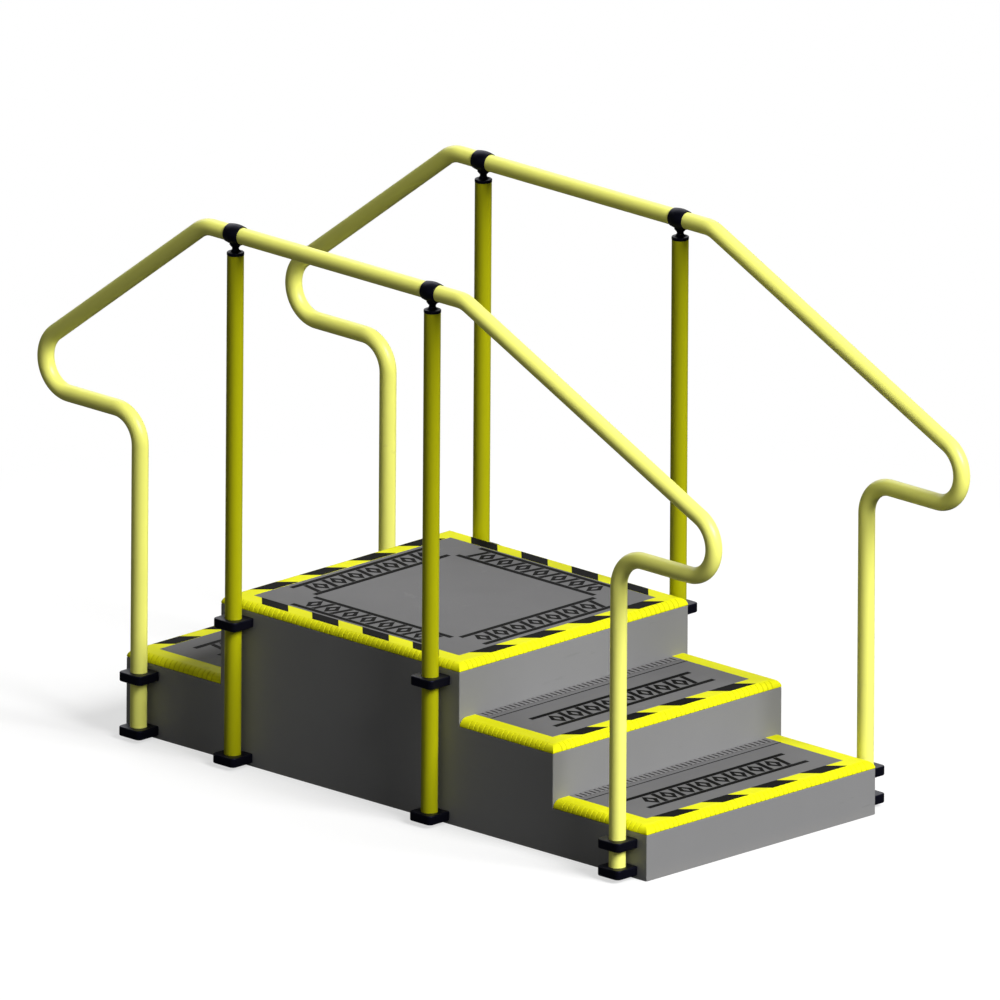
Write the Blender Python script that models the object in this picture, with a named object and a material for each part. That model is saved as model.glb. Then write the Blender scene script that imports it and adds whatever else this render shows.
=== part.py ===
"""Rehabilitation training stairs: a platform with a three-rise flight and a two-rise flight,
and a bent tube handrail with two extra posts along each side.

The origin lies on the floor under the middle of the stairs. +X points along the stairs towards the
three-rise flight, which is the right one, +Y points to the far side and +Z up. Sizes are in metres.
"""
import math

import bmesh
import bpy
from mathutils import Vector

for old in list(bpy.data.objects):
    bpy.data.objects.remove(old, do_unlink=True)

# Stairs
BODY_WIDTH = 0.810
PLATFORM_LENGTH = 0.825
PLATFORM_HEIGHT = 0.420
TREAD_RUN = 0.325
RIGHT_RISE_COUNT = 3
LEFT_RISE_COUNT = 2

# Boards of the body
PANEL_THICKNESS = 0.018
RISER_THICKNESS = 0.018
BOARD_THICKNESS = 0.018
BATTEN_LEDGE = 0.025
BATTEN_HEIGHT = 0.045
JOIST_COUNT = 2
JOIST_THICKNESS = 0.036
JOIST_HEIGHT = 0.070

# Coverings of the treads. The mats and the edge trim finish flush, so they share one thickness.
COVER_THICKNESS = 0.003
TRIM_WIDTH = 0.057
STRIP_WIDTH = 0.035
GROOVE_PITCH = 0.0156
GROOVE_WIDTH = 0.0050
GROOVE_DEPTH = 0.0015
NOSE_STEPS = 5

# Bent handrail tube and the posts under its level stretch
TUBE_RADIUS = 0.0212
TUBE_WALL = 0.0020
RAIL_HEIGHT = 1.378
RETURN_HEIGHT = 0.841
BEND_RADIUS = 0.082
RIGHT_LOOP_REACH = 0.259
LEFT_LOOP_REACH = 0.2525
RIGHT_APEX_REACH = 0.111
LEFT_APEX_REACH = 0.1055
POST_STANDOFF = 0.034
RIGHT_POST_INSET = 0.0682
LEFT_POST_INSET = 0.0757
POST_TOP_DROP = 0.053
BEND_STEP = math.radians(15)
ROUND_SIDES = 16
SMOOTH_BELOW = math.radians(35)

# Clamp blocks on the side panels
CLAMP_HALF_LENGTH = 0.038
CLAMP_OUTREACH = 0.037
CLAMP_HEIGHT = 0.024
CLAMP_OUTER_CORNER = 0.013
CLAMP_BACK_CORNER = 0.004
CLAMP_CORNER_STEPS = 3
CLAMP_CHAMFER = 0.003
CLAMP_FLOOR_GAP = 0.010
CLAMP_CUP_FLOOR = 0.004
CLAMP_TREAD_DROP = 0.035

# Saddle collars round the handrail, and the caps that plug the posts
COLLAR_LENGTH = 0.047
COLLAR_CROWN = 0.0050
COLLAR_RIM = 0.0020
COLLAR_STATIONS = (0, 0.15, 0.35, 0.65, 0.85, 1)
CONE_RADIUS = 0.0150
CONE_HEIGHT = 0.0065
NECK_RADIUS = 0.0087
STUD_RADIUS = 0.0050
STUD_LENGTH = 0.012
CAP_RIM_RADIUS = 0.0218
CAP_RIM_HEIGHT = 0.0080
CAP_RIM_BEVEL = 0.0022
CAP_TOP_RADIUS = 0.0097
CAP_HEIGHT = 0.0145
CAP_STEPS = 3
CAP_SPIGOT = 0.030

# Clearances between neighbours that touch, between a tube and its bore, and at the mitres
SEAT = 0.0003
BORE_CLEARANCE = 0.0005
MITRE_SHIFT = 0.0006

# Places worked out from the sizes
LEFT_LENGTH = (LEFT_RISE_COUNT - 1) * TREAD_RUN
RIGHT_LENGTH = (RIGHT_RISE_COUNT - 1) * TREAD_RUN
BODY_RIGHT = (LEFT_LENGTH + PLATFORM_LENGTH + RIGHT_LENGTH) / 2
BODY_LEFT = -BODY_RIGHT
PLATFORM_LEFT = BODY_LEFT + LEFT_LENGTH
PLATFORM_RIGHT = BODY_RIGHT - RIGHT_LENGTH
HALF_WIDTH = BODY_WIDTH / 2
EDGE_HEIGHT = COVER_THICKNESS + BOARD_THICKNESS
INNER_HALF_WIDTH = HALF_WIDTH - PANEL_THICKNESS - SEAT
RAIL_Y = HALF_WIDTH + POST_STANDOFF
TUBE_FOOT = CLAMP_FLOOR_GAP + CLAMP_CUP_FLOOR + SEAT
POST_TOP = RAIL_HEIGHT - POST_TOP_DROP
TUBE_BORE = TUBE_RADIUS - TUBE_WALL
FACET = math.cos(math.pi / ROUND_SIDES)
SIDES = {"near": -1, "far": 1}


def material(name, colour, roughness, metallic=0.0):
    """A plain finish for one kind of piece."""
    made = bpy.data.materials.get(name)
    if made is None:
        made = bpy.data.materials.new(name)
        made.use_nodes = True
        shader = made.node_tree.nodes["Principled BSDF"]
        shader.inputs["Base Color"].default_value = (*colour, 1.0)
        shader.inputs["Roughness"].default_value = roughness
        shader.inputs["Metallic"].default_value = metallic
    return made


PANEL_PAINT = material("dark_grey_paint", (0.150, 0.150, 0.153), 0.55)
RISER_PAINT = material("grey_paint", (0.262, 0.262, 0.262), 0.55)
PLYWOOD = material("plywood", (0.480, 0.340, 0.190), 0.70)
MAT_RUBBER = material("grey_rubber", (0.210, 0.200, 0.215), 0.85)
TRIM_RUBBER = material("yellow_rubber", (0.870, 0.870, 0.010), 0.60)
RAIL_PAINT = material("pale_yellow_paint", (0.950, 0.950, 0.250), 0.35)
POST_PAINT = material("olive_yellow_paint", (0.450, 0.450, 0.005), 0.35)
BLACK_NYLON = material("black_nylon", (0.010, 0.010, 0.014), 0.45)


def empty(name, location):
    """A frame that carries one group of pieces."""
    made = bpy.data.objects.new(name, None)
    made.location = location
    bpy.context.scene.collection.objects.link(made)
    return made


STAIRS = empty("stairs_frame", (0, 0, 0))


def loft(name, rings, finish, parent=STAIRS, location=(0, 0, 0), closed=False, smooth=False):
    """One solid skinned over rings of equally many points, capped at both ends unless it closes."""
    mesh = bpy.data.meshes.new(name)
    shape = bmesh.new()
    rows = [[shape.verts.new(point) for point in ring] for ring in rings]
    count = len(rows[0])
    pairs = list(zip(rows, rows[1:]))
    if closed:
        pairs.append((rows[-1], rows[0]))
    for low, high in pairs:
        for i in range(count):
            k = (i + 1) % count
            shape.faces.new((low[i], low[k], high[k], high[i]))
    if not closed:
        shape.faces.new(rows[0])
        shape.faces.new(rows[-1])
    bmesh.ops.recalc_face_normals(shape, faces=shape.faces[:])
    shape.to_mesh(mesh)
    shape.free()
    if smooth:
        mesh.shade_smooth()
        mesh.set_sharp_from_angle(angle=SMOOTH_BELOW)
    mesh.materials.append(finish)
    made = bpy.data.objects.new(name, mesh)
    made.parent = parent
    made.location = location
    bpy.context.scene.collection.objects.link(made)
    return made


def box_between(name, low, high, finish):
    """A sawn board with square edges."""
    rings = [[(x, low[1], low[2]), (x, high[1], low[2]), (x, high[1], high[2]), (x, low[1], high[2])]
             for x in (low[0], high[0])]
    return loft(name, rings, finish)


def circle(radius, centre, across, up):
    """The corners of a round section, in the plane of two unit vectors."""
    turn = 2 * math.pi / ROUND_SIDES
    return [centre + radius * (math.cos(i * turn) * across + math.sin(i * turn) * up)
            for i in range(ROUND_SIDES)]


def grown(radius, gap):
    """The corner radius of a facetted bore that stays a gap clear of a facetted shaft."""
    return radius + gap / FACET


def turned(profile, axis):
    """Rings of a turned piece, from pairs of radius and distance along its axis."""
    across, up = (Vector((1, 0, 0)), Vector((0, 1, 0))) if axis.z else (Vector((0, 0, 1)), Vector((0, 1, 0)))
    return [circle(radius, axis * along, across, up) for radius, along in profile]


def guide(made):
    """Marks a solid that only shapes another one."""
    made.hide_render = True
    made.display_type = "WIRE"
    return made


def boolean(target, operation, other):
    """Joins another solid to the target, or cuts it out of the target."""
    change = target.modifiers.new(operation.lower(), "BOOLEAN")
    change.operation = operation
    change.solver = "EXACT"
    change.object = other


class Step:
    """One walking surface: its front and back edge, its height and which edges lie free."""

    def __init__(self, name, back, front, top, free_all_round=False):
        self.name = name
        self.back = back
        self.front = front
        self.top = top
        self.free_all_round = free_all_round
        self.way = 1 if front > back else -1

    def corners(self, inset, height, back=None):
        """The four corners at an inset from the free edges, from the back one on the near side."""
        front = self.front - self.way * inset
        if back is None:
            back = self.back + self.way * (inset if self.free_all_round else SEAT)
        side = HALF_WIDTH - inset
        return [Vector((back, -side, height)), Vector((front, -side, height)),
                Vector((front, side, height)), Vector((back, side, height))]


def flight(side, edge, way, rises):
    """The treads between the floor and the platform, from the lowest one up."""
    rise = PLATFORM_HEIGHT / rises
    steps = []
    for number in range(1, rises):
        back = edge + way * (rises - 1 - number) * TREAD_RUN
        steps.append(Step(f"{side}_{number}", back, back + way * TREAD_RUN, number * rise))
    return steps


RIGHT_TREADS = flight("right", PLATFORM_RIGHT, 1, RIGHT_RISE_COUNT)
LEFT_TREADS = flight("left", PLATFORM_LEFT, -1, LEFT_RISE_COUNT)
TREADS = RIGHT_TREADS + LEFT_TREADS
PLATFORM = Step("platform", PLATFORM_LEFT, PLATFORM_RIGHT, PLATFORM_HEIGHT, free_all_round=True)


def carcass_top(step):
    """The level of the panel and riser tops that carry a step's board."""
    return step.top - EDGE_HEIGHT - SEAT


# Side panels: one sheet a side with the outline of the stairs, mitred where a riser meets it
def stair_outline(inset):
    """The outline's corners in X and Z, with the upright edges moved in for the panel's inner face."""
    points = [(BODY_LEFT + inset, 0)]
    for step in LEFT_TREADS:
        points += [(step.front + inset, carcass_top(step)), (step.back + inset, carcass_top(step))]
    points += [(PLATFORM_LEFT + inset, carcass_top(PLATFORM)), (PLATFORM_RIGHT - inset, carcass_top(PLATFORM))]
    for step in reversed(RIGHT_TREADS):
        points += [(step.back - inset, carcass_top(step)), (step.front - inset, carcass_top(step))]
    points.append((BODY_RIGHT - inset, 0))
    return points


for side_name, sign in SIDES.items():
    faces = ((0, HALF_WIDTH), (RISER_THICKNESS, HALF_WIDTH - PANEL_THICKNESS))
    loft(f"side_panel_{side_name}",
         [[(x, sign * y, z) for x, z in stair_outline(inset)] for inset, y in faces], PANEL_PAINT)


# Risers: boards mitred to the side panels, each standing on the floor or on a batten
def riser(name, face, way, bottom, top):
    """A mitred board whose outer face lies in the plane where the step above ends."""
    outer = HALF_WIDTH - MITRE_SHIFT
    inner = outer - PANEL_THICKNESS
    back = face - way * RISER_THICKNESS
    rings = [[(face, -outer, z), (face, outer, z), (back, inner, z), (back, -inner, z)] for z in (bottom, top)]
    loft(name, rings, RISER_PAINT)


for side_name, way, treads in (("right", 1, RIGHT_TREADS), ("left", -1, LEFT_TREADS)):
    bottom = 0.0
    for number, step in enumerate(treads + [PLATFORM], start=1):
        face = (PLATFORM_RIGHT if way > 0 else PLATFORM_LEFT) if step is PLATFORM else step.front
        riser(f"riser_{side_name}_{number}", face, way, bottom, carcass_top(step))
        bottom = step.top - EDGE_HEIGHT

# Battens between the side panels: each carries the back edge of a tread and the riser above it
for step in TREADS:
    reach = sorted((step.back - step.way * RISER_THICKNESS, step.back + step.way * BATTEN_LEDGE))
    box_between(f"cross_batten_{step.name}",
                (reach[0], -INNER_HALF_WIDTH, carcass_top(step) - BATTEN_HEIGHT),
                (reach[1], INNER_HALF_WIDTH, carcass_top(step)), PLYWOOD)

# Joists between the side panels, under the platform board
for number in range(1, JOIST_COUNT + 1):
    centre = PLATFORM_LEFT + number * PLATFORM_LENGTH / (JOIST_COUNT + 1)
    box_between(f"platform_joist_{number}",
                (centre - JOIST_THICKNESS / 2, -INNER_HALF_WIDTH, carcass_top(PLATFORM) - JOIST_HEIGHT),
                (centre + JOIST_THICKNESS / 2, INNER_HALF_WIDTH, carcass_top(PLATFORM)), PLYWOOD)


# Tread boards and the platform board: their free edges are rounded to carry the trim
def quarter(radius, step):
    """Inset and height along a quarter round about the lower inner corner of the nose."""
    return [(EDGE_HEIGHT - radius * math.cos(i * math.pi / 2 / NOSE_STEPS),
             step.top - EDGE_HEIGHT + radius * math.sin(i * math.pi / 2 / NOSE_STEPS))
            for i in range(NOSE_STEPS + 1)]


for step in TREADS + [PLATFORM]:
    board_name = "platform_board" if step is PLATFORM else f"tread_board_{step.name}"
    loft(board_name, [step.corners(inset, height) for inset, height in quarter(BOARD_THICKNESS, step)],
         PLYWOOD)

# Edge trim: a moulded nosing with a flat band, mitred at the corners, over every free edge
for step in TREADS + [PLATFORM]:
    outer = quarter(EDGE_HEIGHT, step)
    inner = quarter(BOARD_THICKNESS + SEAT, step)
    section = outer + [(TRIM_WIDTH, step.top), (TRIM_WIDTH, inner[-1][1])] + inner[::-1]
    stations = [[step.corners(inset, height)[corner] for inset, height in section] for corner in range(4)]
    loft(f"edge_trim_{step.name}", stations, TRIM_RUBBER, closed=step is PLATFORM, smooth=True)


# Mats: sheet rubber laid inside the trim. A tread's mat stops at the ribbed strip.
def cover_heights(step):
    """The underside and the top of what lies on a board."""
    return step.top - COVER_THICKNESS + SEAT, step.top


for step in TREADS + [PLATFORM]:
    behind = None if step is PLATFORM else step.back + step.way * (STRIP_WIDTH + 2 * SEAT)
    mat_name = "platform_mat" if step is PLATFORM else f"tread_mat_{step.name}"
    loft(mat_name, [step.corners(TRIM_WIDTH + SEAT, height, behind) for height in cover_heights(step)],
         MAT_RUBBER)

# Ribbed strips: rubber with cross grooves along the foot of the riser behind each tread
STRIP_HALF = HALF_WIDTH - TRIM_WIDTH - SEAT
GROOVE_COUNT = int((2 * STRIP_HALF - GROOVE_WIDTH) / GROOVE_PITCH)
for step in TREADS:
    under, top = cover_heights(step)
    line = [(-STRIP_HALF, under), (-STRIP_HALF, top)]
    for number in range(GROOVE_COUNT):
        middle = (number - (GROOVE_COUNT - 1) / 2) * GROOVE_PITCH
        line += [(middle - GROOVE_WIDTH / 2, top), (middle, top - GROOVE_DEPTH), (middle + GROOVE_WIDTH / 2, top)]
    line += [(STRIP_HALF, top), (STRIP_HALF, under)]
    ends = (step.back + step.way * SEAT, step.back + step.way * (SEAT + STRIP_WIDTH))
    loft(f"ribbed_strip_{step.name}", [[(x, y, z) for y, z in line] for x in ends], MAT_RUBBER)


# Handrails: one tube a side, bent in an upright plane from the foot of one end post to the other
def loop_corner(apex, way, loop_end):
    """Where the sloping stretch and the level return below it would cross without their bend."""
    hub = Vector((loop_end - way * BEND_RADIUS, RETURN_HEIGHT + BEND_RADIUS))
    run = hub - apex
    slope = math.atan2(-run.y, abs(run.x)) - math.asin(BEND_RADIUS / run.length)
    return Vector((apex.x + way * (RAIL_HEIGHT - RETURN_HEIGHT) / math.tan(slope), RETURN_HEIGHT))


def bent_line(corners):
    """The tube's centre line in X and Z: straight runs with an arc at each inner corner."""
    points = [corners[0]]
    for before, corner, after in zip(corners, corners[1:], corners[2:]):
        into = (corner - before).normalized()
        out = (after - corner).normalized()
        turn = into.angle_signed(out)
        start = corner - into * BEND_RADIUS * math.tan(abs(turn) / 2)
        pieces = max(2, round(abs(turn) / BEND_STEP))
        side = Vector((into.y, -into.x)) * math.copysign(BEND_RADIUS, turn)
        hub = start + side
        for i in range(pieces + 1):
            angle = -turn * i / pieces
            spoke = -side
            points.append(hub + Vector((spoke.x * math.cos(angle) - spoke.y * math.sin(angle),
                                        spoke.x * math.sin(angle) + spoke.y * math.cos(angle))))
    points.append(corners[-1])
    return points


def tube_rings(line):
    """Rings down the outside of a tube and back up its bore, along a line in X and Z."""
    across = Vector((0, 1, 0))
    sections = []
    for i, point in enumerate(line):
        before = (point - line[i - 1]).normalized() if i else None
        after = (line[i + 1] - point).normalized() if i + 1 < len(line) else None
        along = after if before is None else before if after is None else (before + after).normalized()
        sections.append((Vector((point.x, 0, point.y)), Vector((along.y, 0, -along.x))))
    outside = [circle(TUBE_RADIUS, centre, normal, across) for centre, normal in sections]
    inside = [circle(TUBE_BORE, centre, normal, across) for centre, normal in sections]
    return outside + inside[::-1]


POST_PLACES = {
    "left_end": BODY_LEFT + LEFT_POST_INSET,
    "platform_left": PLATFORM_LEFT + LEFT_POST_INSET,
    "platform_right": PLATFORM_RIGHT - RIGHT_POST_INSET,
    "right_end": BODY_RIGHT - RIGHT_POST_INSET,
}
UPPER_CLAMP_STEP = {
    "left_end": LEFT_TREADS[0],
    "platform_left": PLATFORM,
    "platform_right": PLATFORM,
    "right_end": RIGHT_TREADS[0],
}
RAIL_SET = {name: empty(f"handrail_set_{name}", (0, sign * RAIL_Y, 0)) for name, sign in SIDES.items()}

left_apex = Vector((POST_PLACES["platform_left"] - LEFT_APEX_REACH, RAIL_HEIGHT))
right_apex = Vector((POST_PLACES["platform_right"] + RIGHT_APEX_REACH, RAIL_HEIGHT))
RAIL_LINE = bent_line([
    Vector((POST_PLACES["left_end"], TUBE_FOOT)),
    Vector((POST_PLACES["left_end"], RETURN_HEIGHT)),
    loop_corner(left_apex, -1, BODY_LEFT - LEFT_LOOP_REACH),
    left_apex,
    right_apex,
    loop_corner(right_apex, 1, BODY_RIGHT + RIGHT_LOOP_REACH),
    Vector((POST_PLACES["right_end"], RETURN_HEIGHT)),
    Vector((POST_PLACES["right_end"], TUBE_FOOT)),
])
for side_name, frame in RAIL_SET.items():
    loft(f"handrail_{side_name}", tube_rings(RAIL_LINE), RAIL_PAINT, frame, closed=True, smooth=True)

# Posts: straight tubes under the level stretch, from the lower clamp to the cap
post_line = [Vector((0, TUBE_FOOT)), Vector((0, POST_TOP))]
for side_name, frame in RAIL_SET.items():
    for end in ("left", "right"):
        place = (POST_PLACES[f"platform_{end}"], 0, 0)
        loft(f"post_{side_name}_{end}", tube_rings(post_line), POST_PAINT, frame, place,
             closed=True, smooth=True)

# Post caps: turned plugs with a flanged rim and a hollow shoulder that takes the collar's stud
UP = Vector((0, 0, 1))
cap_socket = grown(STUD_RADIUS, SEAT)
shoulder_rise = CAP_HEIGHT - CAP_RIM_HEIGHT
shoulder_run = CAP_RIM_RADIUS - CAP_RIM_BEVEL - CAP_TOP_RADIUS
cap_profile = [
    (TUBE_BORE - SEAT / FACET, POST_TOP - CAP_SPIGOT),
    (TUBE_BORE - SEAT / FACET, POST_TOP + SEAT),
    (CAP_RIM_RADIUS, POST_TOP + SEAT),
    (CAP_RIM_RADIUS, POST_TOP + CAP_RIM_HEIGHT - CAP_RIM_BEVEL),
    (CAP_RIM_RADIUS - CAP_RIM_BEVEL, POST_TOP + CAP_RIM_HEIGHT),
]
for i in range(1, CAP_STEPS + 1):
    part = i / CAP_STEPS * math.pi / 2
    cap_profile.append((CAP_TOP_RADIUS + shoulder_run * (1 - math.sin(part)),
                        POST_TOP + CAP_RIM_HEIGHT + shoulder_rise * (1 - math.cos(part))))
cap_profile += [
    (cap_socket, POST_TOP + CAP_HEIGHT),
    (cap_socket, POST_TOP + CAP_HEIGHT - STUD_LENGTH - SEAT),
]
for side_name, frame in RAIL_SET.items():
    for end in ("left", "right"):
        place = (POST_PLACES[f"platform_{end}"], 0, 0)
        loft(f"post_cap_{side_name}_{end}", turned(cap_profile, UP), BLACK_NYLON, frame, place, smooth=True)

# Saddle collars: a crowned sleeve round the level tube with a cone, a neck and a stud below it
ALONG = Vector((1, 0, 0))
sleeve_bore = grown(TUBE_RADIUS, SEAT)
half = COLLAR_LENGTH / 2
sleeve_profile = [(sleeve_bore + COLLAR_RIM + (COLLAR_CROWN - COLLAR_RIM) * math.sin(math.pi * part),
                   half * (2 * part - 1)) for part in COLLAR_STATIONS]
crown_bottom = RAIL_HEIGHT - sleeve_bore - COLLAR_CROWN
neck_foot = POST_TOP + CAP_HEIGHT + SEAT
neck_profile = [
    (STUD_RADIUS, neck_foot - STUD_LENGTH),
    (STUD_RADIUS, neck_foot),
    (NECK_RADIUS, neck_foot),
    (NECK_RADIUS, crown_bottom - CONE_HEIGHT),
    (CONE_RADIUS, crown_bottom + COLLAR_RIM),
    (CONE_RADIUS, RAIL_HEIGHT - TUBE_RADIUS * FACET),
]
for side_name, frame in RAIL_SET.items():
    for end in ("left", "right"):
        x = POST_PLACES[f"platform_{end}"]
        collar = loft(f"collar_{side_name}_{end}", turned(sleeve_profile, ALONG), BLACK_NYLON, frame,
                      (x, 0, RAIL_HEIGHT), smooth=True)
        neck = guide(loft(f"neck_guide_{side_name}_{end}", turned(neck_profile, UP), BLACK_NYLON, frame,
                          (x, 0, 0), smooth=True))
        bore = guide(loft(f"sleeve_bore_{side_name}_{end}",
                          turned([(sleeve_bore, -COLLAR_LENGTH), (sleeve_bore, COLLAR_LENGTH)], ALONG),
                          BLACK_NYLON, frame, (x, 0, RAIL_HEIGHT), smooth=True))
        boolean(collar, "UNION", neck)
        boolean(collar, "DIFFERENCE", bore)


# Clamp blocks: two at each post, screwed to the side panel. The lower one is a cup for the tube.
def clamp_outline(sign, shrink):
    """The block seen from above, round its tube, with two corner sizes, shrunk for the chamfers."""
    left = -CLAMP_HALF_LENGTH + shrink
    right = CLAMP_HALF_LENGTH - shrink
    front = CLAMP_OUTREACH - shrink
    back = -(POST_STANDOFF - SEAT)
    outer = CLAMP_OUTER_CORNER - shrink
    inner = CLAMP_BACK_CORNER - shrink
    corners = ((right - inner, back + inner, inner), (right - outer, front - outer, outer),
               (left + outer, front - outer, outer), (left + inner, back + inner, inner))
    points = []
    for quarter_turn, (x, y, radius) in enumerate(corners, start=-1):
        for i in range(CLAMP_CORNER_STEPS + 1):
            angle = (quarter_turn + i / CLAMP_CORNER_STEPS) * math.pi / 2
            points.append((x + radius * math.cos(angle), sign * (y + radius * math.sin(angle))))
    return points


def clamp(name, sign, place, bottom, bore):
    """One block with chamfered rims, bored for its tube."""
    levels = ((0, CLAMP_CHAMFER), (CLAMP_CHAMFER, 0), (CLAMP_HEIGHT - CLAMP_CHAMFER, 0),
              (CLAMP_HEIGHT, CLAMP_CHAMFER))
    rings = [[(x, y, height) for x, y in clamp_outline(sign, shrink)] for height, shrink in levels]
    block = loft(name, rings, BLACK_NYLON, STAIRS, (place, sign * RAIL_Y, bottom), smooth=True)
    boolean(block, "DIFFERENCE", bore)


bore_radius = grown(TUBE_RADIUS, BORE_CLEARANCE)
for side_name, sign in SIDES.items():
    for station, place in POST_PLACES.items():
        top_clamp = UPPER_CLAMP_STEP[station].top - CLAMP_TREAD_DROP - CLAMP_HEIGHT
        bore_rings = turned([(bore_radius, CLAMP_FLOOR_GAP + CLAMP_CUP_FLOOR),
                             (bore_radius, top_clamp + 2 * CLAMP_HEIGHT)], UP)
        bore = guide(loft(f"clamp_bore_{side_name}_{station}", bore_rings, BLACK_NYLON, STAIRS,
                          (place, sign * RAIL_Y, 0), smooth=True))
        clamp(f"clamp_lower_{side_name}_{station}", sign, place, CLAMP_FLOOR_GAP, bore)
        clamp(f"clamp_upper_{side_name}_{station}", sign, place, top_clamp, bore)
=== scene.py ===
"""Looks of a set of rehabilitation training stairs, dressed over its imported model, in metres."""

import math

import bmesh
import bpy
from mathutils import Matrix, Vector


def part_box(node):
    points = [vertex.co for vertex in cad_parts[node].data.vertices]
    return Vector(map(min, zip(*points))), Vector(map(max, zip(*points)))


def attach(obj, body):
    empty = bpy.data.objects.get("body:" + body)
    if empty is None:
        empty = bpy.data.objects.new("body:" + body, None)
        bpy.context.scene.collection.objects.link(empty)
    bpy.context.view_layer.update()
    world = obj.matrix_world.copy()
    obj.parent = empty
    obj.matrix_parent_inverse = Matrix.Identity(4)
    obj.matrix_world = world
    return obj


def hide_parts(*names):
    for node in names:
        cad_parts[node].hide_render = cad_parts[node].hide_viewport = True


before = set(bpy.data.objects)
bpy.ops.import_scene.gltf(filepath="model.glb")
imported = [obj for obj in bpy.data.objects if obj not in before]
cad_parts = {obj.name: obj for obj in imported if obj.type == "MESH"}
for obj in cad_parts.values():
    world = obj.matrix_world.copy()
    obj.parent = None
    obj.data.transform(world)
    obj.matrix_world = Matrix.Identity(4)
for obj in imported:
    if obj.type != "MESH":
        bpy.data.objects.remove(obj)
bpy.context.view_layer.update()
SCENE = bpy.context.scene

# Camera: the picture is a parallel projection, so this one has no perspective either. Its direction
# and roll follow the edges of the stairs, and one pixel of the picture is 2.475 mm across. It is
# placed by one point of the floor, under the platform's right end, and by that point's pixel.
LOOK_ROUND = math.radians(44.216)
LOOK_DOWN = math.radians(17.068)
ROLL = math.radians(0.357)
PIXEL = 0.002475
PICTURE_WIDTH = 1000
PLATFORM_FOOT = Vector((0.250, 0, 0))
FOOT_ACROSS, FOOT_DOWN = 572.84, 793.256
STAND_BACK = 6.0

level = Vector((math.cos(LOOK_ROUND), math.sin(LOOK_ROUND), 0))
plumb = Vector((math.sin(LOOK_ROUND) * math.sin(LOOK_DOWN), -math.cos(LOOK_ROUND) * math.sin(LOOK_DOWN),
                -math.cos(LOOK_DOWN)))
right = math.cos(ROLL) * level - math.sin(ROLL) * plumb
down = math.sin(ROLL) * level + math.cos(ROLL) * plumb
ahead = right.cross(down)
middle = PLATFORM_FOOT + PIXEL * ((PICTURE_WIDTH / 2 - FOOT_ACROSS) * right
                                  + (PICTURE_WIDTH / 2 - FOOT_DOWN) * down)
camera = bpy.data.objects.new("camera", bpy.data.cameras.new("camera"))
camera.data.type = "ORTHO"
camera.data.ortho_scale = PICTURE_WIDTH * PIXEL
camera.matrix_world = (Matrix.Translation(middle - STAND_BACK * ahead)
                       @ Matrix((right, -down, -ahead)).transposed().to_4x4())
SCENE.collection.objects.link(camera)
SCENE.camera = camera
SCENE.view_settings.view_transform = "Standard"


# Floor and light: a pale studio floor that fades into a white surround, a strong soft lamp from the end
# with the three low steps, weak ones on the near side and from behind, and an even fill from all round.
# Each lamp has the direction towards it, its strength and its spread.
FILL = 0.05
LAMPS = {"key_lamp": (Vector((0.77, 0.04, 0.64)), 4.85, math.radians(32)),
         "side_lamp": (Vector((0.10, -0.97, 0.22)), 0.30, math.radians(80)),
         "back_lamp": (Vector((-0.75, 0.45, 0.48)), 0.90, math.radians(50))}
WHITE = (1, 1, 1, 1)
FLOOR_HALF = 14.0
FLOOR_COLOUR = (0.96, 0.96, 0.96, 1)
FLOOR_BOUNCE = (0.05, 0.05, 0.05, 1)
FLOOR_GLOW = 0.62
SHADOW_REACH = (1.5, 2.8)


class Wiring:
    """Adds nodes to one tree. A socket is given a number, a colour or another node's socket."""

    def __init__(self, tree):
        self.tree = tree

    def add(self, kind, wires=None, **settings):
        """A new node, set up and wired."""
        node = self.tree.nodes.new(kind)
        for name, value in settings.items():
            setattr(node, name, value)
        for name, value in (wires or {}).items():
            if isinstance(value, bpy.types.NodeSocket):
                self.tree.links.new(value, node.inputs[name])
            else:
                node.inputs[name].default_value = value
        return node

    def group(self, tree, wires):
        """One of the shared effects, with this material's own values."""
        return self.add("ShaderNodeGroup", wires, node_tree=tree).outputs[0]

    def maths(self, operation, first, second=0.0, limited=False):
        """The result of one sum on two values."""
        return self.add("ShaderNodeMath", {0: first, 1: second}, operation=operation,
                        use_clamp=limited).outputs[0]

    def mixed(self, share, one, other):
        """A colour between two colours."""
        return self.add("ShaderNodeMix", {0: share, 6: one, 7: other}, data_type="RGBA").outputs[2]

    def ranged(self, value, start, end, low=0.0, high=1.0):
        """A value moved smoothly from one range into another, and held there."""
        return self.add("ShaderNodeMapRange", {"Value": value, "From Min": start, "From Max": end,
                                               "To Min": low, "To Max": high},
                        interpolation_type="SMOOTHSTEP").outputs[0]

    def tinted(self, base, tint, mask, strength):
        """A colour that takes on some of a tint where a mask is."""
        return self.mixed(self.maths("MULTIPLY", mask, strength), base, tint)

    def raised(self, base, mask, by):
        """A value that is higher where a mask is."""
        return self.maths("ADD", base, self.maths("MULTIPLY", mask, by))


def new_material(name):
    """An empty material and its wiring."""
    made = bpy.data.materials.new(name)
    made.use_nodes = True
    made.node_tree.nodes.clear()
    return made, Wiring(made.node_tree)


world = bpy.data.worlds.new("studio")
SCENE.world = world
world.use_nodes = True
world.node_tree.nodes.clear()
wiring = Wiring(world.node_tree)
seen = wiring.add("ShaderNodeLightPath").outputs["Is Camera Ray"]
fill = wiring.add("ShaderNodeBackground", {"Color": WHITE, "Strength": FILL})
surround = wiring.add("ShaderNodeBackground", {"Color": WHITE, "Strength": 1.0})
chosen = wiring.add("ShaderNodeMixShader", {0: seen, 1: fill.outputs[0], 2: surround.outputs[0]})
wiring.add("ShaderNodeOutputWorld", {"Surface": chosen.outputs[0]})

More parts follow.
